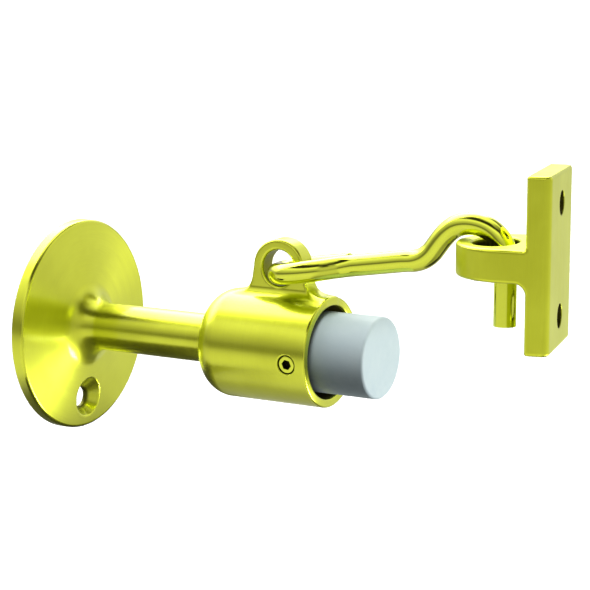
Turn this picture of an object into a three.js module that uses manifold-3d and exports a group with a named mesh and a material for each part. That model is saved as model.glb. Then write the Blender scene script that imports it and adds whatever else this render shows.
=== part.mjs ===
// Wall-mounted door stop with a swinging hook and the keeper that the hook drops into.
// Units are millimetres, +Z is up. The origin is the centre of the flange's back face, which
// lies on the wall; +X points out of the wall, along the arm.
import * as THREE from "three";
import { mergeVertices } from "three/addons/utils/BufferGeometryUtils.js";
import Module from "manifold-3d";

const wasm = await Module();
wasm.setup();

// ---- driving dimensions ----
// wall flange and arm (one casting)
const FLANGE_R = 31.75; // 2-1/2 in across
const FLANGE_T = 4.0; // thickness at the rim
const ARM_R = 7.15; // 9/16 in rod
const ROOT_FILLET = 6.0; // arm to flange
const ARM_END_X = 54.7;
const ARM_TAP_R = 3.2; // tapped end, thread left plain
const ARM_TAP_DEPTH = 19.0;
const MOUNT_HOLE_Z = -22.9; // single countersunk screw hole, 6 o'clock
const MOUNT_HOLE_R = 3.0;
const MOUNT_CSK_R = 6.0;
// head: cup with the eye lug
const HEAD_X0 = 51.0;
const HEAD_X1 = 89.7; // rim
const HEAD_R = 15.875; // 1-1/4 in across
const HEAD_SHOULDER = 8.0;
const SOCKET_R = 7.4; // seat for the arm's end
const SOCKET_X = 55.0;
const POCKET_X = 70.0; // floor of the bumper pocket
const POCKET_R = 13.4;
const WEB_HOLE_R = 3.3;
const LUG_T = 6.4; // along Y
const LUG_X = 73.75;
const LUG_Z = 23.4;
const LUG_R = 8.25;
const LUG_HOLE_R = 5.2;
// screw that holds the head on the arm
const SCREW_R = 2.9;
const SCREW_TIP_X = 38.0;
const SCREW_HEAD_R = 5.2;
const SCREW_HEAD_X0 = 71.65;
const SCREW_HEAD_X1 = 75.6;
const WASHER_R0 = 3.5;
const WASHER_R1 = 5.4;
const WASHER_X0 = 70.2;
const WASHER_X1 = 71.4;
// rubber bumper
const BUMPER_R = 11.65;
const BUMPER_SKIRT_R = 13.1;
const BUMPER_X0 = 70.3;
const BUMPER_SKIRT_X = 85.2;
const BUMPER_X1 = 105.7;
const BUMPER_CORE_R = 6.2; // room for the screw head
const BUMPER_CORE_X = 76.4;
// set screw through the cup's wall into the bumper
const SET_X = 83.6;
const SET_ANGLE = 5.1; // degrees below the horizontal, on the -Y side
const SET_HOLE_R = 2.75;
const SET_R = 2.45;
const SET_OUT = 15.55;
const SET_IN = 10.7;
// hook, bent from round rod
const ROD_R = 3.1;
const EYE_X = 73.15; // where the eye passes through the lug: the hinge axis
const EYE_Z = 21.86;
const SHANK_PITCH = 9.1; // degrees
const TIP_X = 142.9;
const TIP_END_Z = 12.0;
// keeper
const KEEPER_YAW = 12.0; // degrees about the hook's tip
const PLATE_BACK = 14.9; // from the tip's axis to the plate's back face
const PLATE_T = 6.5;
const PLATE_W = 31.0;
const PLATE_Z0 = 8.0;
const PLATE_Z1 = 55.6;
const PLATE_HOLES_Z = [16.55, 47.05];
const PLATE_HOLE_R = 3.3;
const PLATE_CSK_R = 5.8;
const RING_Z0 = 27.0;
const RING_Z1 = 36.0;
const RING_R = 15.0; // half-round outer end
const RING_CENTRE = 1.6; // from the tip's axis towards the plate
const OPENING_N0 = -9.0; // opening for the hook's tip, along the plate's normal
const OPENING_N1 = 3.5;
const OPENING_HALF_W = 9.5;

const DEG = Math.PI / 180;

// ---- solids ----
function toManifold(geometry) {
  const g = geometry.clone();
  g.deleteAttribute("normal");
  g.deleteAttribute("uv");
  const merged = mergeVertices(g, 1e-4);
  const make = (tri) =>
    new wasm.Manifold(
      new wasm.Mesh({
        numProp: 3,
        vertProperties: new Float32Array(merged.attributes.position.array),
        triVerts: tri,
      }),
    );
  const tri = new Uint32Array(merged.index.array);
  let solid = make(tri);
  if (solid.volume() < 0) {
    for (let i = 0; i < tri.length; i += 3)
      [tri[i + 1], tri[i + 2]] = [tri[i + 2], tri[i + 1]];
    solid = make(tri);
  }
  return solid;
}

function toGeometry(solid) {
  const m = solid.getMesh();
  const n = m.numProp;
  const v = new Float32Array(m.numVert * 3);
  for (let i = 0; i < m.numVert; i++)
    v.set(m.vertProperties.subarray(i * n, i * n + 3), i * 3);
  const g = new THREE.BufferGeometry();
  g.setAttribute("position", new THREE.BufferAttribute(v, 3));
  g.setIndex(new THREE.BufferAttribute(new Uint32Array(m.triVerts), 1));
  g.computeVertexNormals();
  return g;
}

// A body of revolution about the X axis through (cy, cz); the profile is [x, radius] pairs.
function turned(profile, sides) {
  const g = new THREE.LatheGeometry(
    profile.map(([x, r]) => new THREE.Vector2(r, x)),
    sides,
  );
  g.rotateZ(-Math.PI / 2);
  return toManifold(g);
}

// A cylinder between two points.
function rod(a, b, ra, rb, sides) {
  const from = new THREE.Vector3(...a);
  const to = new THREE.Vector3(...b);
  const axis = to.clone().sub(from);
  const g = new THREE.CylinderGeometry(rb, ra, axis.length(), sides);
  g.applyQuaternion(
    new THREE.Quaternion().setFromUnitVectors(
      new THREE.Vector3(0, 1, 0),
      axis.clone().normalize(),
    ),
  );
  const c = from.add(to).multiplyScalar(0.5);
  g.translate(c.x, c.y, c.z);
  return toManifold(g);
}

// Points of an arc, from angle a0 to a1 in degrees.
function arc(cx, cy, r, a0, a1, n) {
  const out = [];
  for (let i = 0; i <= n; i++) {
    const t = (a0 + ((a1 - a0) * i) / n) * DEG;
    out.push([cx + r * Math.cos(t), cy + r * Math.sin(t)]);
  }
  return out;
}

function box(x0, x1, y0, y1, z0, z1) {
  const g = new THREE.BoxGeometry(x1 - x0, y1 - y0, z1 - z0);
  g.translate((x0 + x1) / 2, (y0 + y1) / 2, (z0 + z1) / 2);
  return toManifold(g);
}

// ---- wall flange and arm ----
// The face is a shallow dome that runs into the arm through a fillet.
const faceX = (r) => FLANGE_T + 0.000095 * (FLANGE_R - r) ** 3 + 0.045 * (FLANGE_R - r);
const filletX = faceX(ARM_R + ROOT_FILLET) + ROOT_FILLET;
const flangeProfile = [
  [0, 0],
  [0, FLANGE_R - 0.5],
  [0.5, FLANGE_R],
  [FLANGE_T - 1.5, FLANGE_R],
  ...arc(FLANGE_T - 1.5, FLANGE_R - 1.5, 1.5, 75, 15, 4).map(([x, r]) => [x, r]),
];
for (const r of [29.4, 27, 24.5, 22, 19.5, 17, 15])
  flangeProfile.push([faceX(r), r]);
for (let i = 0; i <= 8; i++) {
  // quarter turn from the face to the arm
  const t = (8 + ((90 - 8) * i) / 8) * DEG;
  flangeProfile.push([
    filletX - ROOT_FILLET * Math.cos(t),
    ARM_R + ROOT_FILLET * (1 - Math.sin(t)),
  ]);
}
flangeProfile.push(
  [ARM_END_X - 0.6, ARM_R],
  [ARM_END_X, ARM_R - 0.6],
  [ARM_END_X, ARM_TAP_R],
  [ARM_END_X - ARM_TAP_DEPTH, ARM_TAP_R],
  [ARM_END_X - ARM_TAP_DEPTH - 1.8, 0],
);
const cskX = faceX(-MOUNT_HOLE_Z);
const wallFlangeArm = turned(flangeProfile, 56)
  .subtract(
    rod([-1, 0, MOUNT_HOLE_Z], [9, 0, MOUNT_HOLE_Z], MOUNT_HOLE_R, MOUNT_HOLE_R, 28),
  )
  .subtract(
    rod(
      [cskX - (MOUNT_CSK_R - MOUNT_HOLE_R) * 1.1, 0, MOUNT_HOLE_Z],
      [cskX, 0, MOUNT_HOLE_Z],
      MOUNT_HOLE_R,
      MOUNT_CSK_R,
      28,
    ).add(
      rod([cskX - 0.001, 0, MOUNT_HOLE_Z], [cskX + 3, 0, MOUNT_HOLE_Z], MOUNT_CSK_R, MOUNT_CSK_R, 28),
    ),
  );

// ---- head ----
const headProfile = [
  [SOCKET_X, 0],
  [SOCKET_X, SOCKET_R],
  [HEAD_X0, SOCKET_R],
  ...arc(HEAD_X0 + HEAD_SHOULDER, HEAD_R - HEAD_SHOULDER, HEAD_SHOULDER, 180, 90, 8),
  [HEAD_X1 - 0.6, HEAD_R],
  [HEAD_X1, HEAD_R - 0.6],
  [HEAD_X1, POCKET_R + 0.4],
  [HEAD_X1 - 0.4, POCKET_R],
  [POCKET_X, POCKET_R],
  [POCKET_X, 0],
];
// Lug outline in the XZ plane: a round eye on flared feet that die into the cup's top.
const lug = new THREE.Shape();
{
  const p = [];
  p.push([60.2, 12.5], [60.2, 14.6], [61.6, 15.3], [63.0, 16.8], [64.2, 18.9], [65.0, 21.3]);
  p.push(...arc(LUG_X, LUG_Z, LUG_R, 180, 0, 18));
  p.push([82.25, 21.2], [82.9, 19.2], [84.2, 17.4], [86.0, 16.2], [88.2, 15.6], [88.9, 15.3], [88.9, 12.5]);
  lug.moveTo(...p[0]);
  p.slice(1).forEach((q) => lug.lineTo(...q));
  lug.closePath();
}
const lugGeometry = new THREE.ExtrudeGeometry(lug, {
  depth: LUG_T - 1.2,
  steps: 1,
  bevelEnabled: true,
  bevelThickness: 0.6,
  bevelSize: 0.6,
  bevelOffset: -0.6,
  bevelSegments: 1,
});
// extrude runs along +Z: turn the outline's (x, y) into (X, Z) and the depth into Y
lugGeometry.rotateX(Math.PI / 2);
lugGeometry.translate(0, LUG_T / 2 - 0.6, 0);
// solid core below the lug, so that it never reaches into the pocket
const core = rod([HEAD_X0 + 9, 0, 0], [HEAD_X1 - 0.6, 0, 0], HEAD_R - 0.8, HEAD_R - 0.8, 56);
const setDir = [0, -Math.cos(SET_ANGLE * DEG), -Math.sin(SET_ANGLE * DEG)];
const along = (r) => [SET_X, setDir[1] * r, setDir[2] * r];
const head = toManifold(lugGeometry)
  .subtract(core)
  .subtract(rod([LUG_X, -9, LUG_Z], [LUG_X, 9, LUG_Z], LUG_HOLE_R, LUG_HOLE_R, 32))
  .subtract(rod([LUG_X, -LUG_T / 2 - 0.01, LUG_Z], [LUG_X, -LUG_T / 2 + 0.7, LUG_Z], LUG_HOLE_R + 0.7, LUG_HOLE_R, 32))
  .subtract(rod([LUG_X, LUG_T / 2 + 0.01, LUG_Z], [LUG_X, LUG_T / 2 - 0.7, LUG_Z], LUG_HOLE_R + 0.7, LUG_HOLE_R, 32))
  .add(turned(headProfile, 56))
  .subtract(rod([SOCKET_X - 1, 0, 0], [POCKET_X + 1, 0, 0], WEB_HOLE_R, WEB_HOLE_R, 24))
  .subtract(rod(along(12), along(18), SET_HOLE_R, SET_HOLE_R, 20));

// ---- screw and lock washer inside the cup ----
const headScrew = turned(
  [
    [SCREW_TIP_X, 0],
    [SCREW_TIP_X, SCREW_R - 0.7],
    [SCREW_TIP_X + 0.7, SCREW_R],
    [SCREW_HEAD_X0, SCREW_R],
    [SCREW_HEAD_X0, SCREW_HEAD_R],
    [SCREW_HEAD_X1 - 1.4, SCREW_HEAD_R],
    [SCREW_HEAD_X1 - 0.4, SCREW_HEAD_R - 0.7],
    [SCREW_HEAD_X1, SCREW_HEAD_R - 2.2],
    [SCREW_HEAD_X1, 0],
  ],
  28,
).subtract(box(SCREW_HEAD_X1 - 1.9, SCREW_HEAD_X1 + 1, -0.7, 0.7, -7, 7));
const lockWasher = turned(
  [
    [WASHER_X0, WASHER_R0],
    [WASHER_X0, WASHER_R1],
    [WASHER_X1, WASHER_R1],
    [WASHER_X1, WASHER_R0],
    [WASHER_X0, WASHER_R0],
  ],
  32,
).subtract(box(WASHER_X0 - 1, WASHER_X1 + 1, -0.5, 0.5, 0, 8));

// ---- bumper and its set screw ----
const bumper = turned(
  [
    [BUMPER_CORE_X, 0],
    [BUMPER_CORE_X, BUMPER_CORE_R],
    [BUMPER_X0, BUMPER_CORE_R],
    [BUMPER_X0, BUMPER_SKIRT_R],
    [BUMPER_SKIRT_X - 0.6, BUMPER_SKIRT_R],
    [BUMPER_SKIRT_X, BUMPER_SKIRT_R - 0.6],
    [BUMPER_SKIRT_X, BUMPER_R],
    [BUMPER_X1 - 1.2, BUMPER_R],
    [BUMPER_X1 - 0.35, BUMPER_R - 0.35],
    [BUMPER_X1, BUMPER_R - 1.2],
    [BUMPER_X1, 0],
  ],
  48,
).subtract(rod(along(SET_IN - 0.3), along(16), SET_HOLE_R, SET_HOLE_R, 20));
const hexSocket = rod(along(SET_OUT - 2.0), along(SET_OUT + 1), 1.45, 1.45, 6);
const setGeometry = new THREE.LatheGeometry(
  [
    [0, SET_IN],
    [SET_R - 0.8, SET_IN],
    [SET_R, SET_IN + 0.8],
    [SET_R, SET_OUT - 0.3],
    [SET_R - 0.3, SET_OUT],
    [0, SET_OUT],
  ].map(([r, y]) => new THREE.Vector2(r, y)),
  20,
);
setGeometry.applyQuaternion(
  new THREE.Quaternion().setFromUnitVectors(
    new THREE.Vector3(0, 1, 0),
    new THREE.Vector3(...setDir),
  ),
);
setGeometry.translate(SET_X, 0, 0);
const setScrew = toManifold(setGeometry).subtract(hexSocket);

// ---- hook ----
// Centre line: end of the eye, back leg, round through the lug, front leg, shank, hump, tip.
const pitch = SHANK_PITCH * DEG;
const eye = (u, v) =>
  new THREE.Vector3(EYE_X + u * Math.cos(pitch), v, EYE_Z + u * Math.sin(pitch));
const hookPoints = [
  eye(19.4, 6.5),
  eye(16.0, 6.65),
  eye(12.0, 6.95),
  eye(8.5, 7.0),
  eye(5.0, 6.72),
  eye(2.4, 5.3),
  eye(0.7, 3.05),
  eye(0, 0),
  eye(0.7, -3.05),
  eye(2.4, -5.3),
  eye(5.0, -6.72),
  eye(8.5, -7.0),
  eye(11.6, -6.35),
  eye(14.4, -4.9),
  eye(17.2, -2.7),
  eye(19.8, -0.95),
  eye(22.6, -0.12),
  eye(26, 0),
  eye(33, 0),
  eye(40, 0),
  new THREE.Vector3(116.0, 0, 28.6),
  new THREE.Vector3(118.6, 0, 29.6),
  new THREE.Vector3(120.8, 0, 31.35),
  new THREE.Vector3(122.4, 0, 33.4),
  new THREE.Vector3(124.0, 0, 35.5),
  new THREE.Vector3(125.9, 0, 37.5),
  new THREE.Vector3(128.2, 0, 39.1),
  new THREE.Vector3(131.0, 0, 39.9),
  new THREE.Vector3(134.2, 0, 39.95),
  new THREE.Vector3(137.2, 0, 39.25),
  new THREE.Vector3(139.8, 0, 37.7),
  new THREE.Vector3(141.7, 0, 35.6),
  new THREE.Vector3(142.7, 0, 33.0),
  new THREE.Vector3(TIP_X, 0, 29.5),
  new THREE.Vector3(TIP_X, 0, 24.0),
  new THREE.Vector3(TIP_X, 0, 18.0),
  new THREE.Vector3(TIP_X, 0, TIP_END_Z + 0.9),
];
const rodSection = new THREE.Shape();
for (let i = 0; i < 16; i++) {
  const t = (i / 16) * 2 * Math.PI;
  if (i) rodSection.lineTo(ROD_R * Math.cos(t), ROD_R * Math.sin(t));
  else rodSection.moveTo(ROD_R, 0);
}
rodSection.closePath();
const hookCurve = new THREE.CatmullRomCurve3(hookPoints, false, "centripetal");
const hook = toManifold(
  new THREE.ExtrudeGeometry(rodSection, {
    steps: 84,
    extrudePath: hookCurve,
    bevelEnabled: false,
  }),
).add(
  rod([TIP_X, 0, TIP_END_Z + 1.4], [TIP_X, 0, TIP_END_Z + 0.8], ROD_R - 0.02, ROD_R - 0.02, 24).add(
    rod([TIP_X, 0, TIP_END_Z + 0.8], [TIP_X, 0, TIP_END_Z], ROD_R - 0.02, ROD_R - 0.75, 24),
  ),
);

// ---- keeper ----
// Built about the tip's axis, with x along the plate's normal, then turned by its yaw.
const ringOutline = new THREE.Shape();
{
  const n1 = PLATE_BACK - PLATE_T + 1.0;
  const half = RING_R;
  const pts = [[n1, -half], ...[[RING_CENTRE + 2, -half]]];
  const end = arc(RING_CENTRE, 0, RING_R, 270, 90, 22);
  const all = [...pts, ...end, [n1, half]];
  ringOutline.moveTo(...all[0]);
  all.slice(1).forEach((q) => ringOutline.lineTo(...q));
  ringOutline.closePath();
}
const ringGeometry = new THREE.ExtrudeGeometry(ringOutline, {
  depth: RING_Z1 - RING_Z0 - 2.0,
  steps: 1,
  bevelEnabled: true,
  bevelThickness: 1.0,
  bevelSize: 1.0,
  bevelOffset: -1.0,
  bevelSegments: 2,
});
ringGeometry.translate(0, 0, RING_Z0 + 1.0);
const openingShape = new THREE.Shape();
{
  const c = (OPENING_N0 + OPENING_N1) / 2;
  const a = (OPENING_N1 - OPENING_N0) / 2;
  for (let i = 0; i < 32; i++) {
    const t = (i / 32) * 2 * Math.PI;
    const x = c + a * Math.cos(t);
    const y = OPENING_HALF_W * Math.sin(t);
    if (i) openingShape.lineTo(x, y);
    else openingShape.moveTo(x, y);
  }
  openingShape.closePath();
}
const openingGeometry = new THREE.ExtrudeGeometry(openingShape, {
  depth: RING_Z1 - RING_Z0 + 4,
  steps: 1,
  bevelEnabled: false,
});
openingGeometry.translate(0, 0, RING_Z0 - 2);
const plateShape = new THREE.Shape();
{
  // plan of the plate: corners eased on the boss side
  const f = PLATE_BACK - PLATE_T;
  const h = PLATE_W / 2;
  const pts = [
    [PLATE_BACK, -h],
    [PLATE_BACK, h],
    ...arc(f + 1.2, h - 1.2, 1.2, 90, 180, 3),
    ...arc(f + 1.2, -h + 1.2, 1.2, 180, 270, 3),
  ];
  plateShape.moveTo(...pts[0]);
  pts.slice(1).forEach((q) => plateShape.lineTo(...q));
  plateShape.closePath();
}
const plateGeometry = new THREE.ExtrudeGeometry(plateShape, {
  depth: PLATE_Z1 - PLATE_Z0 - 0.8,
  steps: 1,
  bevelEnabled: true,
  bevelThickness: 0.4,
  bevelSize: 0.4,
  bevelOffset: -0.4,
  bevelSegments: 1,
});
plateGeometry.translate(0, 0, PLATE_Z0 + 0.4);
// fillet between the underside of the ring and the plate
const filletShape = new THREE.Shape();
{
  const f = PLATE_BACK - PLATE_T;
  const r = 3.0;
  const pts = [
    [f + 1, RING_Z0 + 1],
    [f + 1, RING_Z0 - r],
    [f, RING_Z0 - r],
    ...arc(f - r, RING_Z0 - r, r, 0, 90, 6).slice(1),
    [f - r, RING_Z0 + 1],
  ];
  filletShape.moveTo(...pts[0]);
  pts.slice(1).forEach((q) => filletShape.lineTo(...q));
  filletShape.closePath();
}
const filletGeometry = new THREE.ExtrudeGeometry(filletShape, {
  depth: 2 * (RING_R - 1.2),
  steps: 1,
  bevelEnabled: false,
});
filletGeometry.rotateX(Math.PI / 2);
filletGeometry.translate(0, RING_R - 1.2, 0);
let keeperLocal = toManifold(plateGeometry)
  .add(toManifold(ringGeometry))
  .add(toManifold(filletGeometry))
  .subtract(toManifold(openingGeometry));
for (const z of PLATE_HOLES_Z) {
  const f = PLATE_BACK - PLATE_T;
  keeperLocal = keeperLocal
    .subtract(rod([f - 1, 0, z], [PLATE_BACK + 1, 0, z], PLATE_HOLE_R, PLATE_HOLE_R, 24))
    .subtract(
      rod([f - 0.01, 0, z], [f + (PLATE_CSK_R - PLATE_HOLE_R) * 1.1, 0, z], PLATE_CSK_R, PLATE_HOLE_R, 24),
    );
}
const keeperGeometry = toGeometry(keeperLocal);

// ---- assembly ----
const satinBrass = { color: 0xb8a63c, metalness: 1, roughness: 0.34 };
const polishedBrass = { color: 0xc9b545, metalness: 1, roughness: 0.12 };
const steel = { color: 0x9a9a98, metalness: 1, roughness: 0.35 };
const rubber = { color: 0x9aa5a8, metalness: 0, roughness: 0.7 };

const assembly = new THREE.Group();
function part(name, geometry, look, parent = assembly) {
  const mesh = new THREE.Mesh(geometry, new THREE.MeshStandardMaterial(look));
  mesh.name = name;
  parent.add(mesh);
  return mesh;
}

part("wall_flange_arm", toGeometry(wallFlangeArm), satinBrass);
part("head", toGeometry(head), satinBrass);
part("head_screw", toGeometry(headScrew), steel);
part("lock_washer", toGeometry(lockWasher), steel);
part("bumper", toGeometry(bumper), rubber);
part("bumper_set_screw", toGeometry(setScrew), polishedBrass);
part("hook", toGeometry(hook), polishedBrass);

const keeperFrame = new THREE.Group(); // stands on the hook's tip
keeperFrame.position.set(TIP_X, 0, 0);
keeperFrame.rotation.z = KEEPER_YAW * DEG;
assembly.add(keeperFrame);
part("keeper", keeperGeometry, satinBrass, keeperFrame);

export default assembly;
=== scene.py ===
import math

import bpy
import numpy as np
from mathutils import Matrix, Vector


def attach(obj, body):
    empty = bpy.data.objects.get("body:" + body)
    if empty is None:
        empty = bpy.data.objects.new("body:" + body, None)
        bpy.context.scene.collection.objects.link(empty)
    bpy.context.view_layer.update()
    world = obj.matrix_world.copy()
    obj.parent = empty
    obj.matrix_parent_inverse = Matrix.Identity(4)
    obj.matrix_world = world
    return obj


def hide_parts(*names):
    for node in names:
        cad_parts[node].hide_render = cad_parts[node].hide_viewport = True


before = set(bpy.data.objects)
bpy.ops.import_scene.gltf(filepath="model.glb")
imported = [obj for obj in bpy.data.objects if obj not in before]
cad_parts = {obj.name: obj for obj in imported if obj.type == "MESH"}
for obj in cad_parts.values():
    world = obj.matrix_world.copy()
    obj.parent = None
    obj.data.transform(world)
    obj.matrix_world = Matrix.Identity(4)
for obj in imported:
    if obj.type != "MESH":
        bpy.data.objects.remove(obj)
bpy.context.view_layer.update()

MM = 0.001
DEG = math.pi / 180

# ---- dimensions, in millimetres, as in the CAD source ----
FLANGE_R, FLANGE_T, ARM_R, ROOT_FILLET, ARM_END_X = 31.75, 4.0, 7.15, 6.0, 54.7
ARM_TAP_R, ARM_TAP_DEPTH = 3.2, 19.0
MOUNT_HOLE_Z, MOUNT_HOLE_R, MOUNT_CSK_R = -22.9, 3.0, 6.0
HEAD_X0, HEAD_X1, HEAD_R, HEAD_SHOULDER = 51.0, 89.7, 15.875, 8.0
SOCKET_R, SOCKET_X, POCKET_X, POCKET_R, WEB_HOLE_R = 7.4, 55.0, 70.0, 13.4, 3.3
LUG_T, LUG_X, LUG_Z, LUG_R, LUG_HOLE_R = 6.4, 73.75, 23.4, 8.25, 5.2
BUMPER_R, BUMPER_SKIRT_R, BUMPER_X0, BUMPER_SKIRT_X, BUMPER_X1 = 11.65, 13.1, 70.3, 80.4, 105.7
BUMPER_CORE_R, BUMPER_CORE_X = 6.2, 76.4
SET_X, SET_ANGLE, SET_HOLE_R, SET_R, SET_OUT, SET_IN = 83.6, 5.1, 2.75, 2.45, 15.55, 10.7
ROD_R, EYE_X, EYE_Z, SHANK_PITCH, TIP_X, TIP_END_Z = 3.1, 73.15, 21.86, 9.1, 142.9, 12.0
SCREW_R, SCREW_TIP_X, SCREW_HEAD_R, SCREW_HEAD_X0, SCREW_HEAD_X1 = 2.9, 38.0, 5.2, 71.65, 75.6
WASHER_R0, WASHER_R1, WASHER_X0, WASHER_X1 = 3.5, 5.4, 70.2, 71.4
KEEPER_YAW, PLATE_BACK, PLATE_T, PLATE_W, PLATE_Z0, PLATE_Z1 = 12.0, 14.9, 6.5, 31.0, 8.0, 55.6
PLATE_HOLES_Z, PLATE_HOLE_R, PLATE_CSK_R = (16.55, 47.05), 3.3, 5.8
RING_Z0, RING_Z1, RING_R, RING_CENTRE = 27.0, 36.0, 15.0, 1.6
OPENING_N0, OPENING_N1, OPENING_HALF_W = -9.0, 3.5, 9.5


# ---- implicit solids: distance-like functions of x, y, z in millimetres, negative inside ----
def join(a, b, r):
    """Union with a round fillet of radius r in the inner corner."""
    return np.maximum(r, np.minimum(a, b)) - np.hypot(np.maximum(r - a, 0), np.maximum(r - b, 0))


def common(a, b, r):
    """Intersection with the outer corner rounded to radius r."""
    return np.minimum(-r, np.maximum(a, b)) + np.hypot(np.maximum(r + a, 0), np.maximum(r + b, 0))


def cut(a, b, r):
    """a without b, with the edge rounded to radius r."""
    return common(a, -b, r)


def face_x(r):
    return FLANGE_T + 0.000095 * np.maximum(FLANGE_R - r, 0) ** 3 + 0.045 * (FLANGE_R - r)


def flange_arm(x, y, z):
    r = np.hypot(y, z)
    slope = -0.000285 * np.maximum(FLANGE_R - r, 0) ** 2 - 0.045
    front = (x - face_x(r)) / np.sqrt(1 + slope * slope)
    disc = common(front, r - FLANGE_R, 0.9)
    disc = common(disc, -x, 0.4)
    arm = common(r - ARM_R, x - ARM_END_X, 0.5)
    solid = join(disc, arm, ROOT_FILLET)
    solid = common(solid, -x, 0.3)
    tap = np.maximum(r - ARM_TAP_R, ARM_END_X - ARM_TAP_DEPTH - x)
    solid = cut(solid, tap, 0.3)
    q = np.hypot(y, z - MOUNT_HOLE_Z)
    csk_x = float(face_x(np.array(-MOUNT_HOLE_Z)))
    cone = (q - np.minimum(MOUNT_CSK_R - (csk_x - x) / 1.1, MOUNT_CSK_R + 0.1)) * 0.74
    cone = np.maximum(cone, x - 12)
    hole = np.minimum(q - MOUNT_HOLE_R, cone)
    return cut(solid, hole, 0.22)


def head(x, y, z):
    r = np.hypot(y, z)
    body = common(r - HEAD_R, HEAD_X0 - x, HEAD_SHOULDER)
    body = common(body, x - HEAD_X1, 0.7)
    # lug: a round eye on a neck that flares into the cup's crown
    eye = np.hypot(x - LUG_X, z - LUG_Z) - LUG_R
    neck = (np.abs(x - 73.7) - LUG_R - 0.16 * np.clip(LUG_Z - z, 0, 20)) * 0.987
    neck = common(neck, z - LUG_Z, 0.2)
    flat = join(np.minimum(eye, neck), z - 15.0, 5.2)
    lug = common(flat, np.abs(y) - LUG_T / 2, 0.8)
    lug = common(lug, np.abs(x - 74.3) - 14.4, 0.8)
    lug = np.maximum(lug, -z)
    solid = join(body, lug, 2.2)
    solid = common(solid, x - HEAD_X1, 0.7)
    solid = cut(solid, np.maximum(r - SOCKET_R, x - SOCKET_X), 0.3)
    solid = cut(solid, np.maximum(r - POCKET_R, POCKET_X - x), 0.55)
    solid = cut(solid, r - WEB_HOLE_R, 0.3)
    solid = cut(solid, np.hypot(x - LUG_X, z - LUG_Z) - LUG_HOLE_R, 0.8)
    c, s = math.cos(SET_ANGLE * DEG), math.sin(SET_ANGLE * DEG)
    depth = -y * c - z * s
    across = np.hypot(x - SET_X, -y * s + z * c)
    return cut(solid, np.maximum(across - SET_HOLE_R, 11 - depth), 0.28)


def keeper(n, w, z):
    """In the keeper's own frame: n along the plate's normal from the tip's axis, w across."""
    front = PLATE_BACK - PLATE_T
    plate = common(front - n, np.abs(z - (PLATE_Z0 + PLATE_Z1) / 2) - (PLATE_Z1 - PLATE_Z0) / 2, 0.7)
    bar = np.abs(z - (RING_Z0 + RING_Z1) / 2) - (RING_Z1 - RING_Z0) / 2
    under = join(plate, bar, 3.0)
    over = join(plate, bar, 0.8)
    t = np.clip((z - 31.0) / 2.0, 0, 1)
    side = under + (over - under) * t
    k = np.clip((n - 4) / 5, 0, 1)
    plan = np.hypot(np.maximum(RING_CENTRE - n, 0), w) - RING_R - 0.5 * k * k * (3 - 2 * k)
    plan = common(plan, n - PLATE_BACK, 2.2)
    solid = common(side, plan, 0.9)
    a, b = (OPENING_N1 - OPENING_N0) / 2, OPENING_HALF_W
    c = (OPENING_N0 + OPENING_N1) / 2
    k0 = np.hypot((n - c) / a, w / b)
    k1 = np.hypot((n - c) / a ** 2, w / b ** 2)
    solid = cut(solid, k0 * (k0 - 1) / np.maximum(k1, 1e-4), 0.7)
    for hz in PLATE_HOLES_Z:
        q = np.hypot(w, z - hz)
        cone = (q - (PLATE_CSK_R - (n - front) / 1.1)) * 0.74
        hole = np.maximum(np.minimum(q - PLATE_HOLE_R, cone), front - 2 - n)
        solid = cut(solid, hole, 0.22)
    return solid


def set_screw(x, y, z):
    c, s = math.cos(SET_ANGLE * DEG), math.sin(SET_ANGLE * DEG)
    out = -y * c - z * s
    p, q = x - SET_X, -y * s + z * c
    solid = common(np.hypot(p, q) - SET_R, out - SET_OUT, 0.3)
    solid = common(solid, SET_IN - out, 0.6)
    hexagon = np.maximum.reduce([np.abs(p * math.cos(t * DEG) + q * math.sin(t * DEG)) for t in (20, 80, 140)]) - 1.27
    return cut(solid, np.maximum(hexagon, SET_OUT - 2.0 - out), 0.12)


def head_screw(x, y, z):
    r = np.hypot(y, z)
    top = common(common(r - SCREW_HEAD_R, x - SCREW_HEAD_X1, 1.4), SCREW_HEAD_X0 - x, 0.2)
    turns = 0.22 * np.cos(2 * math.pi * x / 1.25 - np.arctan2(z, y)) - 0.22
    shank = common(r - SCREW_R - turns, SCREW_TIP_X - x, 0.5)
    shank = np.maximum(shank, x - SCREW_HEAD_X0 - 1)
    solid = join(top, shank, 0.2)
    return cut(solid, np.maximum(np.abs(y) - 0.7, SCREW_HEAD_X1 - 1.9 - x), 0.12)


def lock_washer(x, y, z):
    r = np.hypot(y, z)
    ring = np.abs(r - (WASHER_R0 + WASHER_R1) / 2) - (WASHER_R1 - WASHER_R0) / 2
    solid = common(ring, np.abs(x - (WASHER_X0 + WASHER_X1) / 2) - (WASHER_X1 - WASHER_X0) / 2, 0.15)
    return cut(solid, np.maximum(np.abs(y) - 0.5, -z), 0.1)


# ---- painted shade in the bores: 0 on the open faces, 1 down in the holes, where the brass is painted near-black and made rougher ----
def ease(v):
    v = np.clip(v, 0, 1)
    return v * v * (3 - 2 * v)


def flange_bore(x, y, z):
    q = np.hypot(y, z - MOUNT_HOLE_Z)
    return 0.9 * ease((MOUNT_HOLE_R + 0.9 - q) / 0.7) + (np.hypot(y, z) < ARM_TAP_R + 0.3) * (x > 30)


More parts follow.
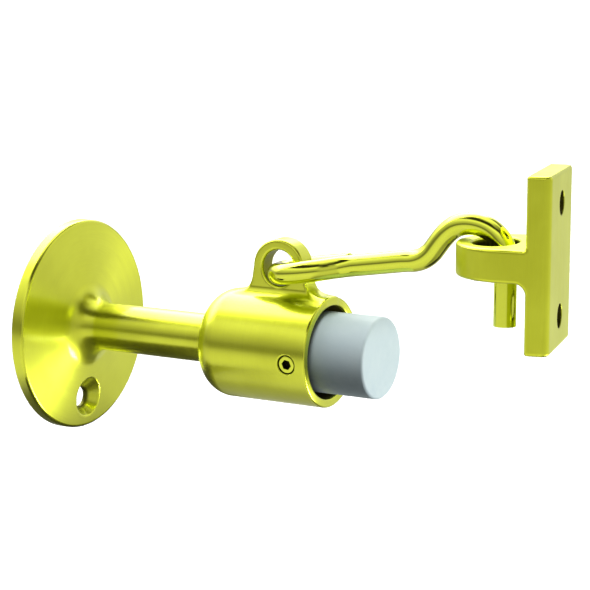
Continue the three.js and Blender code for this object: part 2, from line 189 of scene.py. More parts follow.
def head_bore(x, y, z):
    c, s = math.cos(SET_ANGLE * DEG), math.sin(SET_ANGLE * DEG)
    r = np.hypot(y, z)
    pocket = (r < POCKET_R + 0.7) * ease((HEAD_X1 - 0.3 - x) / 1.2) * (x > 69)
    across = np.hypot(x - SET_X, -y * s + z * c)
    screw = (across < SET_HOLE_R + 0.4) * (y < -8) * ease((HEAD_R - 0.15 - r) / 0.3)
    eye = np.hypot(x - LUG_X, z - LUG_Z)
    lug = 0.75 * ease((LUG_HOLE_R + 0.6 - eye) / 0.5) * (z > 17) * ease((2.9 - np.abs(y)) / 0.8)
    return np.maximum.reduce([pocket, screw, lug])


def keeper_bore(n, w, z):
    a, b, c = (OPENING_N1 - OPENING_N0) / 2, OPENING_HALF_W, (OPENING_N0 + OPENING_N1) / 2
    ring = ease((1.1 - np.hypot((n - c) / a, w / b)) / 0.06) * ease((RING_Z1 - 0.5 - z) / 1.0) * ease((z - RING_Z0 - 0.3) / 0.8)
    ring = ring * (n < 4)
    holes = [ease((PLATE_HOLE_R + 0.45 - np.hypot(w, z - hz)) / 0.4) * ease((PLATE_BACK + 0.1 - n) / 0.3) for hz in PLATE_HOLES_Z]
    return np.maximum.reduce([ring] + holes)


def socket_bore(x, y, z):
    c, s = math.cos(SET_ANGLE * DEG), math.sin(SET_ANGLE * DEG)
    return ease((SET_OUT - 0.15 + y * c + z * s) / 0.5) * (np.hypot(x - SET_X, -y * s + z * c) < 1.8)


# ---- meshing ----
def nets(f, lo, hi, h):
    """Quad mesh of f = 0 inside a box, by surface nets; the vertices are then moved onto the surface."""
    lo = np.array(lo, float)
    n = [int(math.ceil((b - a) / h)) + 1 for a, b in zip(lo, hi)]
    axes = [lo[i] + h * np.arange(n[i]) for i in range(3)]
    F = np.empty(n, np.float64)
    step = 24
    for i in range(0, n[0], step):
        X, Y, Z = np.meshgrid(axes[0][i:i + step], axes[1], axes[2], indexing="ij")
        F[i:i + step] = f(X, Y, Z)
    inside = F < 0
    cells = np.array([k - 1 for k in n])
    size = int(np.prod(cells))
    count = np.zeros(size)
    total = np.zeros((size, 3))
    found = []
    for axis in range(3):
        first = [slice(None)] * 3
        second = [slice(None)] * 3
        first[axis], second[axis] = slice(None, -1), slice(1, None)
        crossing = inside[tuple(first)] != inside[tuple(second)]
        idx = np.argwhere(crossing)
        unit = np.zeros(3, int)
        unit[axis] = 1
        fa = F[tuple(idx.T)]
        fb = F[tuple((idx + unit).T)]
        t = fa / (fa - fb)
        points = lo + h * (idx + t[:, None] * unit)
        u, v = (axis + 1) % 3, (axis + 2) % 3
        around = []
        for du, dv in ((-1, -1), (0, -1), (0, 0), (-1, 0)):
            cell = idx.copy()
            cell[:, u] += du
            cell[:, v] += dv
            flat = (cell[:, 0] * cells[1] + cell[:, 1]) * cells[2] + cell[:, 2]
            around.append(flat)
            count += np.bincount(flat, minlength=size)
            for k in range(3):
                total[:, k] += np.bincount(flat, weights=points[:, k], minlength=size)
        quads = np.stack(around, 1)
        flip = fa > 0
        quads[flip] = quads[flip][:, ::-1]
        found.append(quads)
    used = np.flatnonzero(count)
    index = np.full(size, -1)
    index[used] = np.arange(len(used))
    P = total[used] / count[used][:, None]
    for _ in range(5):
        g, value = gradient(f, P), f(*P.T)
        move = (value / np.maximum((g * g).sum(1), 0.05))[:, None] * g
        length = np.linalg.norm(move, axis=1)
        move *= np.minimum(1, 0.6 * h / np.maximum(length, 1e-9))[:, None]
        P = P - move
    return P, index[np.concatenate(found)]


def gradient(f, P, e=0.004):
    g = np.empty_like(P)
    for k in range(3):
        a, b = P.copy(), P.copy()
        a[:, k] += e
        b[:, k] -= e
        g[:, k] = (f(*a.T) - f(*b.T)) / (2 * e)
    return g


def curvature(f, P, h=0.35):
    """Mean curvature by the field's Laplacian: positive on outer edges, negative in inner corners."""
    total = -6 * f(*P.T)
    for k in range(3):
        for s in (h, -h):
            q = P.copy()
            q[:, k] += s
            total = total + f(*q.T)
    return total / (h * h)


def mesh_object(name, verts, faces, normals=None, edge=None, smooth=True, painted_bore_shade=None):
    """A mesh object from points in millimetres."""
    mesh = bpy.data.meshes.new(name)
    verts = np.asarray(verts, float) * MM
    if isinstance(faces, np.ndarray):
        n, k = faces.shape
        mesh.vertices.add(len(verts))
        mesh.vertices.foreach_set("co", verts.ravel())
        mesh.loops.add(n * k)
        mesh.loops.foreach_set("vertex_index", faces.ravel().astype(np.int32))
        mesh.polygons.add(n)
        mesh.polygons.foreach_set("loop_start", (np.arange(n) * k).astype(np.int32))
        mesh.polygons.foreach_set("loop_total", np.full(n, k, np.int32))
        mesh.update(calc_edges=True)
    else:
        mesh.from_pydata([tuple(v) for v in verts], [], faces)
    mesh.validate()
    mesh.polygons.foreach_set("use_smooth", np.full(len(mesh.polygons), smooth))
    if edge is not None:
        mesh.attributes.new("edge", "FLOAT", "POINT").data.foreach_set("value", np.asarray(edge, np.float32))
    if painted_bore_shade is not None:
        mesh.attributes.new("painted_bore_shade", "FLOAT", "POINT").data.foreach_set("value", np.asarray(painted_bore_shade, np.float32))
    if normals is not None:
        mesh.normals_split_custom_set_from_vertices([tuple(v) for v in normals])
    mesh.update()
    obj = bpy.data.objects.new(name, mesh)
    bpy.context.scene.collection.objects.link(obj)
    return obj


def implicit_object(name, f, lo, hi, h, turn=None, painted_bore_shade=None):
    """turn is (yaw in degrees, offset) from the solid's own frame to the row frame."""
    P, quads = nets(f, lo, hi, h * (1.0))
    g = gradient(f, P)
    N = g / np.maximum(np.linalg.norm(g, axis=1), 1e-9)[:, None]
    edge = np.clip(curvature(f, P), -3, 3)
    painted_shade_mask = np.clip(painted_bore_shade(*P.T), 0, 1) if painted_bore_shade else None
    if turn:
        c, s = math.cos(turn[0] * DEG), math.sin(turn[0] * DEG)
        R = np.array([[c, -s, 0], [s, c, 0], [0, 0, 1]])
        P = P @ R.T + np.array(turn[1])
        N = N @ R.T
    return mesh_object(name, P, quads, N, edge, painted_bore_shade=painted_shade_mask)


def lathe(name, profile, sides, axis_point=(0, 0, 0), axis=(1, 0, 0), corner=28):
    """Body of revolution. profile is [along, radius] pairs, from one end on the axis to the other."""
    axis = np.array(axis, float)
    axis /= np.linalg.norm(axis)
    ref = np.array([0, 0, 1.0]) if abs(axis[2]) < 0.9 else np.array([1.0, 0, 0])
    u = np.cross(ref, axis)
    u /= np.linalg.norm(u)
    v = np.cross(axis, u)
    base = np.array(axis_point, float)
    verts, faces, rings = [], [], []
    for along, r in profile:
        if r < 1e-6:
            rings.append([len(verts)])
            verts.append(base + axis * along)
        else:
            ring = []
            for i in range(sides):
                t = 2 * math.pi * i / sides
                ring.append(len(verts))
                verts.append(base + axis * along + r * (math.cos(t) * u + math.sin(t) * v))
            rings.append(ring)
    for a, b in zip(rings, rings[1:]):
        for i in range(sides):
            j = (i + 1) % sides
            if len(a) == 1 and len(b) == 1:
                continue
            if len(a) == 1:
                faces.append((a[0], b[j], b[i]))
            elif len(b) == 1:
                faces.append((a[i], a[j], b[0]))
            else:
                faces.append((a[i], a[j], b[j], b[i]))
    obj = mesh_object(name, verts, faces)
    import bmesh
    bm = bmesh.new()
    bm.from_mesh(obj.data)
    bmesh.ops.recalc_face_normals(bm, faces=bm.faces)
    bm.to_mesh(obj.data)
    bm.free()
    obj.data.set_sharp_from_angle(angle=corner * DEG)
    return obj


def rounded(points, radius, steps=6):
    """A profile with its inner corners rounded: radius is one number or one for each inner point."""
    out = [points[0]]
    for i in range(1, len(points) - 1):
        r = radius[i - 1] if isinstance(radius, (list, tuple)) else radius
        p, a, b = (np.array(points[k], float) for k in (i, i - 1, i + 1))
        if r <= 0:
            out.append(tuple(p))
            continue
        da, db = a - p, b - p
        la, lb = np.linalg.norm(da), np.linalg.norm(db)
        da, db = da / la, db / lb
        angle = math.acos(np.clip(da @ db, -1, 1))
        if angle > math.pi - 0.02:
            out.append(tuple(p))
            continue
        reach = min(r / math.tan(angle / 2), 0.48 * la, 0.48 * lb)
        rr = reach * math.tan(angle / 2)
        mid = (da + db) / np.linalg.norm(da + db)
        centre = p + mid * rr / math.sin(angle / 2)
        start, end = p + da * reach - centre, p + db * reach - centre
        t0, t1 = math.atan2(start[1], start[0]), math.atan2(end[1], end[0])
        d = (t1 - t0 + math.pi) % (2 * math.pi) - math.pi
        for k in range(steps + 1):
            t = t0 + d * k / steps
            out.append((centre[0] + rr * math.cos(t), centre[1] + rr * math.sin(t)))
    out.append(points[-1])
    return out


# ---- the hook's centre line, as in the CAD source ----
def hook_points():
    p = SHANK_PITCH * DEG

    def eye(u, v):
        return (EYE_X + u * math.cos(p), v, EYE_Z + u * math.sin(p))

    pts = [eye(*q) for q in (
        (19.4, 6.5), (16.0, 6.65), (12.0, 6.95), (8.5, 7.0), (5.0, 6.72), (2.4, 5.3), (0.7, 3.05), (0, 0),
        (0.7, -3.05), (2.4, -5.3), (5.0, -6.72), (8.5, -7.0), (11.6, -6.35), (14.4, -4.9), (17.2, -2.7),
        (19.8, -0.95), (22.6, -0.12), (26, 0), (33, 0), (40, 0))]
    pts += [(116.0, 0, 28.6), (118.6, 0, 29.6), (120.8, 0, 31.35), (122.4, 0, 33.4), (124.0, 0, 35.5),
            (125.9, 0, 37.5), (128.2, 0, 39.1), (131.0, 0, 39.9), (134.2, 0, 39.95), (137.2, 0, 39.25),
            (139.8, 0, 37.7), (141.7, 0, 35.6), (142.7, 0, 33.0), (TIP_X, 0, 29.5), (TIP_X, 0, 24.0),
            (TIP_X, 0, 18.0), (TIP_X, 0, TIP_END_Z + 0.9)]
    return np.array(pts, float)


def catmull(points, per=24):
    """Centripetal Catmull-Rom curve through the points."""
    P = np.vstack([2 * points[0] - points[1], points, 2 * points[-1] - points[-2]])
    out = []
    for i in range(len(points) - 1):
        p0, p1, p2, p3 = P[i:i + 4]
        d0, d1, d2 = (max(np.linalg.norm(b - a), 1e-6) ** 0.5 for a, b in ((p0, p1), (p1, p2), (p2, p3)))
        t1 = ((p1 - p0) / d0 - (p2 - p0) / (d0 + d1) + (p2 - p1) / d1) * d1
        t2 = ((p2 - p1) / d1 - (p3 - p1) / (d1 + d2) + (p3 - p2) / d2) * d1
        c2 = -3 * p1 + 3 * p2 - 2 * t1 - t2
        c3 = 2 * p1 - 2 * p2 + t1 + t2
        for k in range(per):
            t = k / per
            out.append(p1 + t1 * t + c2 * t * t + c3 * t ** 3)
    out.append(points[-1])
    return np.array(out)


def even(curve, spacing):
    d = np.r_[0, np.cumsum(np.linalg.norm(np.diff(curve, axis=0), axis=1))]
    n = max(2, int(round(d[-1] / spacing)))
    s = np.linspace(0, d[-1], n + 1)
    return np.stack([np.interp(s, d, curve[:, k]) for k in range(3)], 1)


def swept_rod(name, line, radius, sides, ends):
    """Round rod along a line. ends gives, for the first and last end, [distance from the end, radius] pairs."""
    T = np.gradient(line, axis=0)
    T /= np.linalg.norm(T, axis=1)[:, None]
    d = np.r_[0, np.cumsum(np.linalg.norm(np.diff(line, axis=0), axis=1))]
    u = np.cross(T[0], [0.0, 0.3, 1.0])
    u /= np.linalg.norm(u)
    stations = []
    for along, r in ends[0]:
        stations.append((along, r))
    inner0, inner1 = ends[0][-1][0], d[-1] - ends[1][-1][0]
    for s in d:
        if inner0 + 0.2 < s < inner1 - 0.2:
            stations.append((s, radius))
    for along, r in reversed(ends[1]):
        stations.append((d[-1] - along, r))
    # frames carried along the line
    frames = [u]
    for i in range(1, len(line)):
        w = frames[-1] - T[i] * (frames[-1] @ T[i])
        frames.append(w / np.linalg.norm(w))
    frames = np.array(frames)
    verts, faces, normals = [], [], []
    rings = []
    for s, r in stations:
        c = np.array([np.interp(s, d, line[:, k]) for k in range(3)])
        t = np.array([np.interp(s, d, T[:, k]) for k in range(3)])
        t /= np.linalg.norm(t)
        a = np.array([np.interp(s, d, frames[:, k]) for k in range(3)])
        a -= t * (a @ t)
        a /= np.linalg.norm(a)
        b = np.cross(t, a)
        ring = []
        for i in range(sides):
            q = 2 * math.pi * i / sides
            ring.append(len(verts))
            verts.append(c + r * (math.cos(q) * a + math.sin(q) * b))
        rings.append(ring)
    for a, b in zip(rings, rings[1:]):
        for i in range(sides):
            j = (i + 1) % sides
            faces.append((a[i], a[j], b[j], b[i]))
    for ring, outward in ((rings[0], False), (rings[-1], True)):
        centre = len(verts)
        verts.append(np.mean([verts[i] for i in ring], axis=0))
        for i in range(sides):
            j = (i + 1) % sides
            faces.append((ring[i], ring[j], centre) if outward else (ring[j], ring[i], centre))
    obj = mesh_object(name, verts, faces)
    obj.data.set_sharp_from_angle(angle=40 * DEG)
    return obj


# ---- finishes ----
class Nodes:
    """Small helper round a material's node tree."""

    def __init__(self, name):
        self.material = bpy.data.materials.new(name)
        self.material.use_nodes = True
        self.tree = self.material.node_tree
        self.tree.nodes.clear()
        self.out = self.tree.nodes.new("ShaderNodeOutputMaterial")
        self.bsdf = self.tree.nodes.new("ShaderNodeBsdfPrincipled")
        self.link(self.bsdf.outputs["BSDF"], self.out.inputs["Surface"])

    def add(self, kind, **settings):
        node = self.tree.nodes.new(kind)
        for key, value in settings.items():
            setattr(node, key, value)
        return node

    def link(self, a, b):
        self.tree.links.new(a, b)

    def math(self, operation, a, b=None, clamp=False):
        node = self.add("ShaderNodeMath", operation=operation, use_clamp=clamp)
        for i, x in enumerate((a, b)):
            if x is None:
                continue
            if isinstance(x, (int, float)):
                node.inputs[i].default_value = x
            else:
                self.link(x, node.inputs[i])
        return node.outputs[0]

    def noise(self, vector, scale, detail=3.0, roughness=0.5, distortion=0.0):
        node = self.add("ShaderNodeTexNoise")
        node.inputs["Scale"].default_value = scale
        node.inputs["Detail"].default_value = detail
        node.inputs["Roughness"].default_value = roughness
        node.inputs["Distortion"].default_value = distortion
        self.link(vector, node.inputs["Vector"])
        return node.outputs["Fac"]

    def span(self, value, a, b, low, high, smooth=False):
        node = self.add("ShaderNodeMapRange", interpolation_type="SMOOTHSTEP" if smooth else "LINEAR")
        self.link(value, node.inputs["Value"])
        for key, x in (("From Min", a), ("From Max", b), ("To Min", low), ("To Max", high)):
            node.inputs[key].default_value = x
        return node.outputs["Result"]

    def mix(self, factor, a, b, blend="MIX"):
        node = self.add("ShaderNodeMix", data_type="RGBA", blend_type=blend)
        ins = [s for s in node.inputs if s.enabled]
        for socket, x in zip(ins, (factor, a, b)):
            if isinstance(x, (int, float, tuple)):
                socket.default_value = x
            else:
                self.link(x, socket)
        return [s for s in node.outputs if s.enabled][0]


def grain_space(n, grain):
    """Object coordinates, and coordinates in millimetres stretched along the brushing.
    grain is 'turned' (round the X axis) or a (rotation, scale) pair for a mapping of the object coordinates."""
    coords = n.add("ShaderNodeTexCoord").outputs["Object"]
    if grain == "turned":
        split = n.add("ShaderNodeSeparateXYZ")
        n.link(coords, split.inputs[0])
        y2 = n.math("MULTIPLY", split.outputs[1], split.outputs[1])
        z2 = n.math("MULTIPLY", split.outputs[2], split.outputs[2])
        r = n.math("SQRT", n.math("ADD", y2, z2))
        angle = n.math("ARCTAN2", split.outputs[2], split.outputs[1])
        turn = n.add("ShaderNodeCombineXYZ")
        n.link(n.math("MULTIPLY", split.outputs[0], 1000.0), turn.inputs[0])
        n.link(n.math("MULTIPLY", r, 1000.0), turn.inputs[1])
        n.link(n.math("MULTIPLY", n.math("COSINE", angle), 1.2), turn.inputs[2])
        return coords, turn.outputs[0]
    mapping = n.add("ShaderNodeMapping", vector_type="POINT")
    n.link(coords, mapping.inputs["Vector"])
    mapping.inputs["Rotation"].default_value = grain[0]
    mapping.inputs["Scale"].default_value = grain[1]
    return coords, mapping.outputs["Vector"]


def brass(name, grain, base, dark, rough, aniso, grain_depth, coat, coat_rough, tangent=None, tarnish=0.5):
    n = Nodes(name)
    coords, streak = grain_space(n, grain)
    fine = n.noise(streak, 3.2, 4.0, 0.65)
    coarse = n.noise(streak, 0.7, 2.0, 0.5)
    cloud = n.noise(coords, 55.0, 3.0, 0.55)
    spots = n.noise(coords, 900.0, 2.0, 0.5)
    edge = n.add("ShaderNodeAttribute", attribute_name="edge", attribute_type="GEOMETRY").outputs["Fac"]
    worn = n.span(edge, 0.25, 1.6, 0.0, 1.0, True)
    # painted shade: inner corners (negative curvature) are darkened towards the dark brass in place of occlusion;
    # outer edges are lighter as wear
    painted_corner_shade = n.span(edge, -0.2, -1.2, 0.0, 1.0, True)
    tone = n.span(cloud, 0.32, 0.7, 0.0, tarnish, True)
    tone = n.math("ADD", tone, n.math("MULTIPLY", painted_corner_shade, 0.45))
    tone = n.math("SUBTRACT", tone, n.math("MULTIPLY", worn, 0.35), clamp=True)
    colour = n.mix(tone, base + (1.0,), dark + (1.0,))
    lines = n.span(fine, 0.3, 0.7, 0.97, 1.02)
    grey = n.add("ShaderNodeCombineXYZ")
    for i in range(3):
        n.link(lines, grey.inputs[i])
    colour = n.mix(1.0, colour, grey.outputs[0], "MULTIPLY")
    # painted shade: down in the bores the colour is mixed towards near-black by this mask; the same mask raises the
    # roughness and takes off the coat
    painted_bore_shade = n.add("ShaderNodeAttribute", attribute_name="painted_bore_shade", attribute_type="GEOMETRY").outputs["Fac"]
    painted_bore_shade = n.math("MULTIPLY", painted_bore_shade, n.span(cloud, 0.3, 0.7, 1.0, 0.93))
    colour = n.mix(painted_bore_shade, colour, (0.035, 0.026, 0.006, 1.0))
    n.link(colour, n.bsdf.inputs["Base Color"])
    n.bsdf.inputs["Metallic"].default_value = 1.0
    r = n.math("ADD", n.span(fine, 0.25, 0.75, rough * 0.92, rough * 1.08), n.span(coarse, 0.3, 0.7, -0.02, 0.02))
    r = n.math("ADD", r, n.math("MULTIPLY", tone, 0.05))
    r = n.math("ADD", r, n.math("MULTIPLY", painted_bore_shade, 0.2))
    n.link(n.math("SUBTRACT", r, n.math("MULTIPLY", worn, rough * 0.25), clamp=True), n.bsdf.inputs["Roughness"])
    height = n.math("ADD", n.math("MULTIPLY", fine, 1.0), n.math("MULTIPLY", coarse, 0.6))
    height = n.math("ADD", height, n.math("MULTIPLY", spots, 0.25))
    bump = n.add("ShaderNodeBump")
    bump.inputs["Strength"].default_value = 1.0
    bump.inputs["Distance"].default_value = grain_depth * MM
    n.link(height, bump.inputs["Height"])
    n.link(bump.outputs["Normal"], n.bsdf.inputs["Normal"])
    n.bsdf.inputs["Anisotropic"].default_value = aniso
    if coat:
        n.link(n.math("MULTIPLY", n.math("SUBTRACT", 1.0, painted_bore_shade), coat), n.bsdf.inputs["Coat Weight"])
        n.bsdf.inputs["Coat Roughness"].default_value = coat_rough
        n.bsdf.inputs["Coat IOR"].default_value = 1.5
    if tangent == "turned":
        # rough direction: along the axis on the arm and cup, outwards on the faces
        geometry = n.add("ShaderNodeNewGeometry")
        to_object = n.add("ShaderNodeVectorTransform", vector_type="NORMAL", convert_from="WORLD", convert_to="OBJECT")
        n.link(geometry.outputs["Normal"], to_object.inputs[0])
        split = n.add("ShaderNodeSeparateXYZ")
        n.link(coords, split.inputs[0])
        circ = n.add("ShaderNodeCombineXYZ")
        n.link(n.math("MULTIPLY", split.outputs[2], -1.0), circ.inputs[1])
        n.link(split.outputs[1], circ.inputs[2])
        cross = n.add("ShaderNodeVectorMath", operation="CROSS_PRODUCT")
        n.link(circ.outputs[0], cross.inputs[0])
        n.link(to_object.outputs[0], cross.inputs[1])
        back = n.add("ShaderNodeVectorTransform", vector_type="VECTOR", convert_from="OBJECT", convert_to="WORLD")
        n.link(cross.outputs[0], back.inputs[0])
        unit = n.add("ShaderNodeVectorMath", operation="NORMALIZE")
        n.link(back.outputs[0], unit.inputs[0])
        n.link(unit.outputs[0], n.bsdf.inputs["Tangent"])
    elif tangent == "upright":
        # lines up and down the faces: the rough direction is level
        geometry = n.add("ShaderNodeNewGeometry")
        to_object = n.add("ShaderNodeVectorTransform", vector_type="NORMAL", convert_from="WORLD", convert_to="OBJECT")
        n.link(geometry.outputs["Normal"], to_object.inputs[0])
        lean = n.add("ShaderNodeCombineXYZ")
        for i, x in enumerate((0.03, 0.02, 1.0)):
            lean.inputs[i].default_value = x
        cross = n.add("ShaderNodeVectorMath", operation="CROSS_PRODUCT")
        n.link(lean.outputs[0], cross.inputs[0])
        n.link(to_object.outputs[0], cross.inputs[1])
        back = n.add("ShaderNodeVectorTransform", vector_type="VECTOR", convert_from="OBJECT", convert_to="WORLD")
        n.link(cross.outputs[0], back.inputs[0])
        unit = n.add("ShaderNodeVectorMath", operation="NORMALIZE")
        n.link(back.outputs[0], unit.inputs[0])
        n.link(unit.outputs[0], n.bsdf.inputs["Tangent"])
    return n.material


def rubber(name):
    n = Nodes(name)
    coords = n.add("ShaderNodeTexCoord").outputs["Object"]
    cloud = n.noise(coords, 90.0, 4.0, 0.6)
    grainy = n.noise(coords, 2600.0, 3.0, 0.6)
    mottled = n.noise(coords, 420.0, 3.0, 0.5)
    tone = n.math("ADD", n.span(cloud, 0.3, 0.7, 0.0, 0.6), n.span(mottled, 0.3, 0.7, 0.0, 0.4))
    colour = n.mix(tone, (0.37, 0.44, 0.45, 1.0), (0.325, 0.40, 0.42, 1.0))
    # painted shade down in the gap between the rubber and the cup: the rubber is darkened to near-black there
    split = n.add("ShaderNodeSeparateXYZ")
    n.link(coords, split.inputs[0])
    painted_shade_mask = n.span(n.math("ADD", split.outputs[0], n.math("MULTIPLY", cloud, 0.0012)), 0.0905, 0.0865, 0.0, 1.0, True)
    colour = n.mix(painted_shade_mask, colour, (0.012, 0.013, 0.014, 1.0))
    n.link(colour, n.bsdf.inputs["Base Color"])
    n.link(n.span(grainy, 0.3, 0.7, 0.46, 0.62), n.bsdf.inputs["Roughness"])
    n.bsdf.inputs["Specular IOR Level"].default_value = 0.25
    bump = n.add("ShaderNodeBump")
    bump.inputs["Strength"].default_value = 0.5
    bump.inputs["Distance"].default_value = 0.02 * MM
    n.link(n.math("ADD", grainy, n.math("MULTIPLY", mottled, 1.5)), bump.inputs["Height"])
    n.link(bump.outputs["Normal"], n.bsdf.inputs["Normal"])
    return n.material


def steel(name):
    n = Nodes(name)
    coords, streak = grain_space(n, "turned")
    fine = n.noise(streak, 3.0, 3.0, 0.6)
    cloud = n.noise(coords, 300.0, 3.0, 0.6)
    colour = n.mix(n.span(cloud, 0.35, 0.7, 0.0, 1.0), (0.62, 0.62, 0.6, 1.0), (0.42, 0.42, 0.42, 1.0))
    n.link(colour, n.bsdf.inputs["Base Color"])
    n.bsdf.inputs["Metallic"].default_value = 1.0
    n.link(n.span(fine, 0.3, 0.7, 0.26, 0.42), n.bsdf.inputs["Roughness"])
    bump = n.add("ShaderNodeBump")
    bump.inputs["Distance"].default_value = 0.01 * MM
    n.link(fine, bump.inputs["Height"])
    n.link(bump.outputs["Normal"], n.bsdf.inputs["Normal"])
    return n.material


BRASS, BRASS_DARK = (0.735, 0.79, 0.045), (0.585, 0.625, 0.02)
turned_brass = brass("turned_brass", "turned", BRASS, BRASS_DARK, 0.31, 0.72, 0.0010, 0.5, 0.12, "turned")
cast_brass = brass("cast_brass", ((0, 0, 0), (900.0, 900.0, 60.0)), BRASS, BRASS_DARK, 0.36, 0.6, 0.0012, 0.25, 0.18, "upright")
bright_brass = brass("bright_brass", ((0, 0, 0), (500.0, 900.0, 900.0)), (0.745, 0.81, 0.06), (0.64, 0.69, 0.035), 0.10, 0.0, 0.0010, 0.4, 0.04, tarnish=0.3)
grey_rubber = rubber("grey_rubber")
plated_steel = steel("plated_steel")


def finish_piece(obj, material, body, node):
    obj.data.materials.clear()
    obj.data.materials.append(material)
    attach(obj, body)
    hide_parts(node)
    return obj


# ---- pieces ----
flange_obj = implicit_object("flange_and_arm", flange_arm, (-1, -33, -33), (56, 33, 33), 0.42, painted_bore_shade=flange_bore)
finish_piece(flange_obj, turned_brass, "stop", "wall_flange_arm")

head_obj = implicit_object("cup_and_lug", head, (50, -17, -17), (91, 17, 33), 0.33, painted_bore_shade=head_bore)
finish_piece(head_obj, turned_brass, "stop", "head")

keeper_obj = implicit_object("keeper_casting", keeper, (-14.6, -16.6, 7), (16, 16.6, 56.6), 0.33,
                             (KEEPER_YAW, (TIP_X, 0, 0)), keeper_bore)
finish_piece(keeper_obj, cast_brass, "keeper", "keeper")

line = even(catmull(hook_points()), 0.5)
hook_obj = swept_rod("hook_rod", line, ROD_R, 56, (
    [(0.0, ROD_R - 0.9), (0.0, ROD_R - 0.55), (0.12, ROD_R - 0.28), (0.35, ROD_R - 0.08), (0.6, ROD_R)],
    [(-0.9, ROD_R - 1.1), (-0.9, ROD_R - 0.75), (-0.75, ROD_R - 0.35), (-0.45, ROD_R - 0.1), (-0.1, ROD_R)]))
finish_piece(hook_obj, bright_brass, "hook", "hook")

profile = rounded([(BUMPER_CORE_X, 0), (BUMPER_CORE_X, BUMPER_CORE_R), (BUMPER_X0, BUMPER_CORE_R),
                   (BUMPER_X0, BUMPER_SKIRT_R), (BUMPER_SKIRT_X, BUMPER_SKIRT_R), (BUMPER_SKIRT_X, BUMPER_R),
                   (BUMPER_X1, BUMPER_R), (BUMPER_X1, 0)], [0.3, 0.3, 0.6, 0.6, 0.4, 0.9, 0], 7)
bumper_obj = lathe("rubber_bumper", profile[:-1] + [(BUMPER_X1, 8.0), (BUMPER_X1, 4.0), (BUMPER_X1, 0)], 128)
finish_piece(bumper_obj, grey_rubber, "stop", "bumper")

set_obj = implicit_object("set_screw", set_screw, (80.8, -16.3, -4.4), (86.4, -9.9, 2.0), 0.1, painted_bore_shade=socket_bore)
finish_piece(set_obj, bright_brass, "stop", "bumper_set_screw")

screw_obj = implicit_object("slotted_screw", head_screw, (37.4, -5.7, -5.7), (76.2, 5.7, 5.7), 0.16)
finish_piece(screw_obj, plated_steel, "stop", "head_screw")

washer_obj = implicit_object("split_washer", lock_washer, (69.7, -5.8, -5.8), (71.9, 5.8, 5.8), 0.12)
finish_piece(washer_obj, plated_steel, "stop", "lock_washer")

# ---- camera, floor and light ----
camera_data = bpy.data.cameras.new("camera")
camera = bpy.data.objects.new("camera", camera_data)
bpy.context.scene.collection.objects.link(camera)
camera.location = (0.3657, -0.4991, 0.1190)
camera.rotation_euler = (79.82 * DEG, 0, 30 * DEG)
camera_data.lens = 125.15
camera_data.sensor_width = 36.0
camera_data.clip_start, camera_data.clip_end = 0.01, 100.0
bpy.context.scene.camera = camera


def plain(name, colour, rough=0.9):
    n = Nodes(name)
    coords = n.add("ShaderNodeTexCoord").outputs["Object"]
    soft = n.noise(coords, 6.0, 2.0, 0.5)
    tint = n.mix(n.span(soft, 0.3, 0.7, 0.0, 1.0), colour + (1.0,), tuple(0.985 * c for c in colour) + (1.0,))
    n.link(tint, n.bsdf.inputs["Base Color"])
    n.bsdf.inputs["Roughness"].default_value = rough
    # the floor gives little light back to the object's underside
    dark = n.add("ShaderNodeBsdfDiffuse")
    dark.inputs["Color"].default_value = (0.03, 0.03, 0.03, 1.0)
    choose = n.add("ShaderNodeMixShader")
    n.link(n.add("ShaderNodeLightPath").outputs["Is Diffuse Ray"], choose.inputs[0])
    n.link(n.bsdf.outputs["BSDF"], choose.inputs[1])
    n.link(dark.outputs["BSDF"], choose.inputs[2])
    n.link(choose.outputs[0], n.out.inputs["Surface"])
    return n.material


FLOOR_Z = -600
floor = mesh_object("floor", [(-30000, -30000, FLOOR_Z), (30000, -30000, FLOOR_Z), (30000, 30000, FLOOR_Z),
                              (-30000, 30000, FLOOR_Z)], [(0, 1, 2, 3)], smooth=False)
floor.data.materials.append(plain("pale_floor", (0.92, 0.92, 0.91)))
floor.visible_glossy = False

world = bpy.data.worlds.new("studio")
bpy.context.scene.world = world
world.use_nodes = True


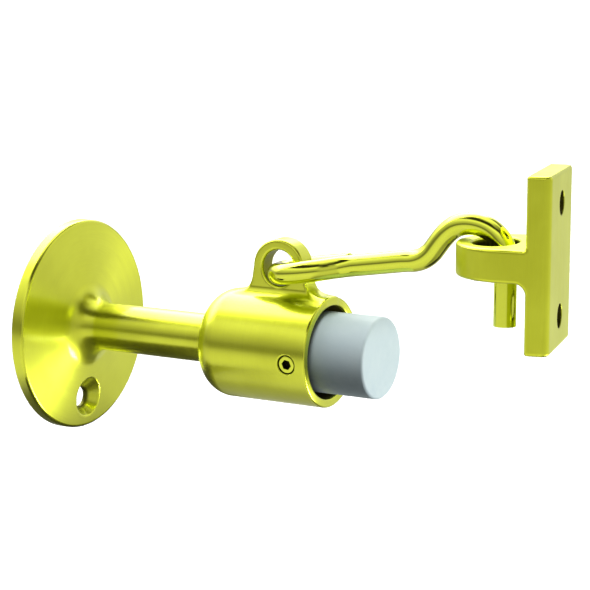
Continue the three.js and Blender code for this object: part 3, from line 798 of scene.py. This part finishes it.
def studio(tree):
    """Soft boxes and dark gaps of a small studio, by elevation, for four sectors round the object."""
    nodes, links = tree.nodes, tree.links
    background = nodes["Background"]
    direction = nodes.new("ShaderNodeTexCoord").outputs["Generated"]
    unit = nodes.new("ShaderNodeVectorMath")
    unit.operation = "NORMALIZE"
    links.new(direction, unit.inputs[0])
    split = nodes.new("ShaderNodeSeparateXYZ")
    links.new(unit.outputs[0], split.inputs[0])

    def math_node(op, *values):
        node = nodes.new("ShaderNodeMath")
        node.operation = op
        for i, x in enumerate(values):
            if isinstance(x, (int, float)):
                node.inputs[i].default_value = x
            else:
                links.new(x, node.inputs[i])
        return node.outputs[0]

    def ramp(value, low, high, stops, top=6.0):
        remap = nodes.new("ShaderNodeMapRange")
        links.new(value, remap.inputs["Value"])
        remap.inputs["From Min"].default_value = low
        remap.inputs["From Max"].default_value = high
        node = nodes.new("ShaderNodeValToRGB")
        node.color_ramp.interpolation = "EASE"
        links.new(remap.outputs["Result"], node.inputs["Fac"])
        elements = node.color_ramp.elements
        while len(elements) > 1:
            elements.remove(elements[-1])
        for i, (at, level) in enumerate(stops):
            e = elements[0] if i == 0 else elements.new((at - low) / (high - low))
            e.position = (at - low) / (high - low)
            e.color = (level / top, level / top, level / top, 1.0)
        return math_node("MULTIPLY", node.outputs["Color"], top)

    elevation = math_node("MULTIPLY", math_node("ARCSINE", split.outputs[2]), 1 / DEG)
    azimuth = math_node("MULTIPLY", math_node("ARCTAN2", split.outputs[1], split.outputs[0]), 1 / DEG)
    front = ramp(elevation, -90, 90, FRONT)
    back = ramp(elevation, -90, 90, BACK)
    right = ramp(elevation, -90, 90, RIGHT)
    side = ramp(elevation, -90, 90, SIDE)
    # weights by azimuth; each wraps at 180 degrees with the same value
    w_back = ramp(azimuth, -180, 180, ((-180, 1), (-172, 1), (-150, 0), (0, 0), (88, 0), (106, 1), (180, 1)), 1.0)
    w_side = ramp(azimuth, -180, 180, ((-180, 0), (16, 0), (34, 1), (86, 1), (106, 0), (180, 0)), 1.0)
    w_right = ramp(azimuth, -180, 180, ((-180, 0), (-62, 0), (-42, 1), (8, 1), (30, 0), (180, 0)), 1.0)
    light = math_node("ADD", front, math_node("MULTIPLY", w_back, math_node("SUBTRACT", back, front)))
    light = math_node("ADD", light, math_node("MULTIPLY", w_right, math_node("SUBTRACT", right, light)))
    light = math_node("ADD", light, math_node("MULTIPLY", w_side, math_node("SUBTRACT", side, light)))
    seen = nodes.new("ShaderNodeLightPath").outputs["Is Camera Ray"]
    light = math_node("ADD", light, math_node("MULTIPLY", seen, math_node("SUBTRACT", 1.0, light)))
    links.new(light, background.inputs["Strength"])
    background.inputs["Color"].default_value = (1.0, 1.0, 1.0, 1.0)


FRONT = ((-90, 0.7), (-60, 0.85), (-30, 0.95), (-18, 0.9), (-9, 0.78), (-3, 0.26), (4, 0.2), (10, 0.45), (20, 0.65),
         (30, 0.95), (38, 1.2), (44, 1.1), (49, 0.04), (68, 0.03), (76, 0.5), (83, 1.2), (90, 1.3))
BACK = ((-90, 0.6), (-75, 0.5), (-62, 0.42), (-42, 0.38), (-25, 0.5), (-10, 0.75), (0, 0.6), (8, 0.5), (16, 1.2),
        (26, 3.0), (36, 7.5), (56, 6.5), (68, 2.5), (90, 1.3))
RIGHT = ((-90, 0.5), (-72, 0.3), (-55, 0.4), (-40, 0.7), (-20, 0.75), (0, 0.5), (15, 0.7), (28, 0.6), (38, 0.03),
         (54, 0.03), (66, 0.4), (80, 1.1), (90, 1.3))
SIDE = ((-90, 0.5), (-72, 0.04), (-50, 0.06), (-36, 0.5), (-20, 0.8), (5, 0.75), (20, 1.0), (34, 0.9), (43, 0.05),
        (51, 0.05), (60, 1.2), (90, 1.5))
studio(world.node_tree)


def soft_light(name, location, target, size, power, size_y=None):
    data = bpy.data.lights.new(name, "AREA")
    data.shape = "RECTANGLE"
    data.size = size
    data.size_y = size_y or size
    data.energy = power
    obj = bpy.data.objects.new(name, data)
    bpy.context.scene.collection.objects.link(obj)
    obj.location = location
    obj.rotation_euler = (Vector(target) - Vector(location)).to_track_quat("-Z", "Y").to_euler()
    return obj


middle = Vector((0.085, 0.0, 0.01))


def towards(azimuth, elevation, distance):
    a, e = azimuth * DEG, elevation * DEG
    return middle + distance * Vector((math.cos(a) * math.cos(e), math.sin(a) * math.cos(e), math.sin(e)))


# a black card below the arm keeps its root's underside dark
card = mesh_object("card", [(-20, -60, -46), (33, -60, -46), (33, 60, -46), (-20, 60, -46)], [(0, 1, 2, 3)], smooth=False)
card.data.materials.append(plain("black_card", (0.012, 0.012, 0.012)))
card.visible_camera = False
card.visible_diffuse = False

low = soft_light("low_right", towards(31, -33, 0.9), middle, 0.26, 4.2)
low.visible_camera = False

# two soft lights for the rubber alone
rubber_only = bpy.data.collections.new("rubber_only")
rubber_only.objects.link(bumper_obj)
for light in (soft_light("rubber_face", towards(10, -9, 0.8), middle, 0.3, 7.0),
              soft_light("rubber_top", towards(-80, 72, 0.8), middle, 0.3, 5.5)):
    light.visible_camera = False
    light.light_linking.receiver_collection = rubber_only

bpy.context.scene.view_settings.view_transform = "Standard"
bpy.context.scene.view_settings.look = "None"

bpy.context.view_layer.update()
